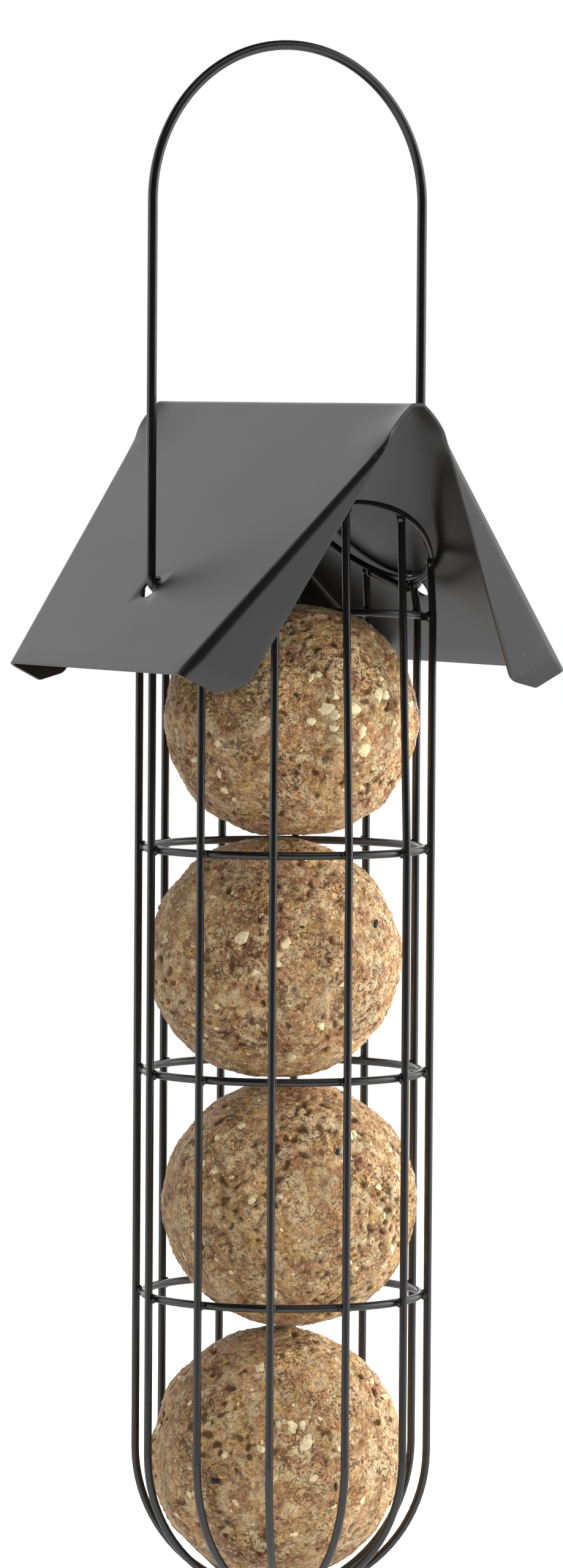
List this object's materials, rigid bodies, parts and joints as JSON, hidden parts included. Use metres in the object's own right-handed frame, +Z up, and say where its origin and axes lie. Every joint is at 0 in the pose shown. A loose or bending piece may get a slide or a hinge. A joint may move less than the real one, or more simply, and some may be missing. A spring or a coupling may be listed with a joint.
{
  "type": "suet ball feeder",
  "caption": "Tall round wire cage for suet balls, hooked to a wire bail, under a folded sheet gable roof that slides up the bail.",
  "frame": {"origin": "the hanging point, on the underside of the bail's arch, where a hook or branch carries it", "axes": "+Z up along the bail; X from hook to hook; Y along the ridge of the roof, with the pictured gable at -Y"},
  "size_m": [0.1122, 0.1254, 0.3933],
  "materials": {
    "wire_black": "satin black powder coat on steel wire",
    "sheet_black": "satin black-grey powder coat on sheet steel",
    "suet": "matt, waxy and granular, with seeds pressed in"
  },
  "bodies": {
    "bail": {"bail_handle": "wire_black"},
    "roof": {"roof": "sheet_black"},
    "cage": {"top_rim": "wire_black", "rear_hoop": "wire_black", "hoop_1": "wire_black", "hoop_2": "wire_black", "hoop_3": "wire_black", "bottom_ring": "wire_black", "weld_beads": "wire_black", "cage_wire_01": "wire_black", "cage_wire_02": "wire_black", "cage_wire_03": "wire_black", "cage_wire_04": "wire_black", "cage_wire_05": "wire_black", "cage_wire_06": "wire_black", "cage_wire_07": "wire_black", "cage_wire_08": "wire_black", "cage_wire_09": "wire_black", "cage_wire_10": "wire_black", "cage_wire_11": "wire_black", "cage_wire_12": "wire_black"},
    "ball_4": {"suet_ball_4": "suet"},
    "ball_3": {"suet_ball_3": "suet"},
    "ball_2": {"suet_ball_2": "suet"},
    "ball_1": {"suet_ball_1": "suet"}
  },
  "joints": [
    {"name": "roof_lift", "type": "slide", "parent": "bail", "child": "roof", "axis": [0, 0, 1], "range_m": [0, 0.0882]},
    {"name": "cage_swing", "type": "hinge", "parent": "bail", "child": "cage", "pos_m": [0, 0, -0.1335], "axis": [1, 0, 0], "range_deg": [-4, 4]},
    {"name": "ball_4_rise", "type": "slide", "parent": "cage", "child": "ball_4", "axis": [0, 0, 1], "range_m": [0, 0.003]},
    {"name": "ball_3_rise", "type": "slide", "parent": "ball_4", "child": "ball_3", "axis": [0, 0, 1], "range_m": [0, 0.003]},
    {"name": "ball_2_rise", "type": "slide", "parent": "ball_3", "child": "ball_2", "axis": [0, 0, 1], "range_m": [0, 0.003]},
    {"name": "ball_1_rise", "type": "slide", "parent": "ball_2", "child": "ball_1", "axis": [0, 0, 1], "range_m": [0, 0.003]}
  ]
}
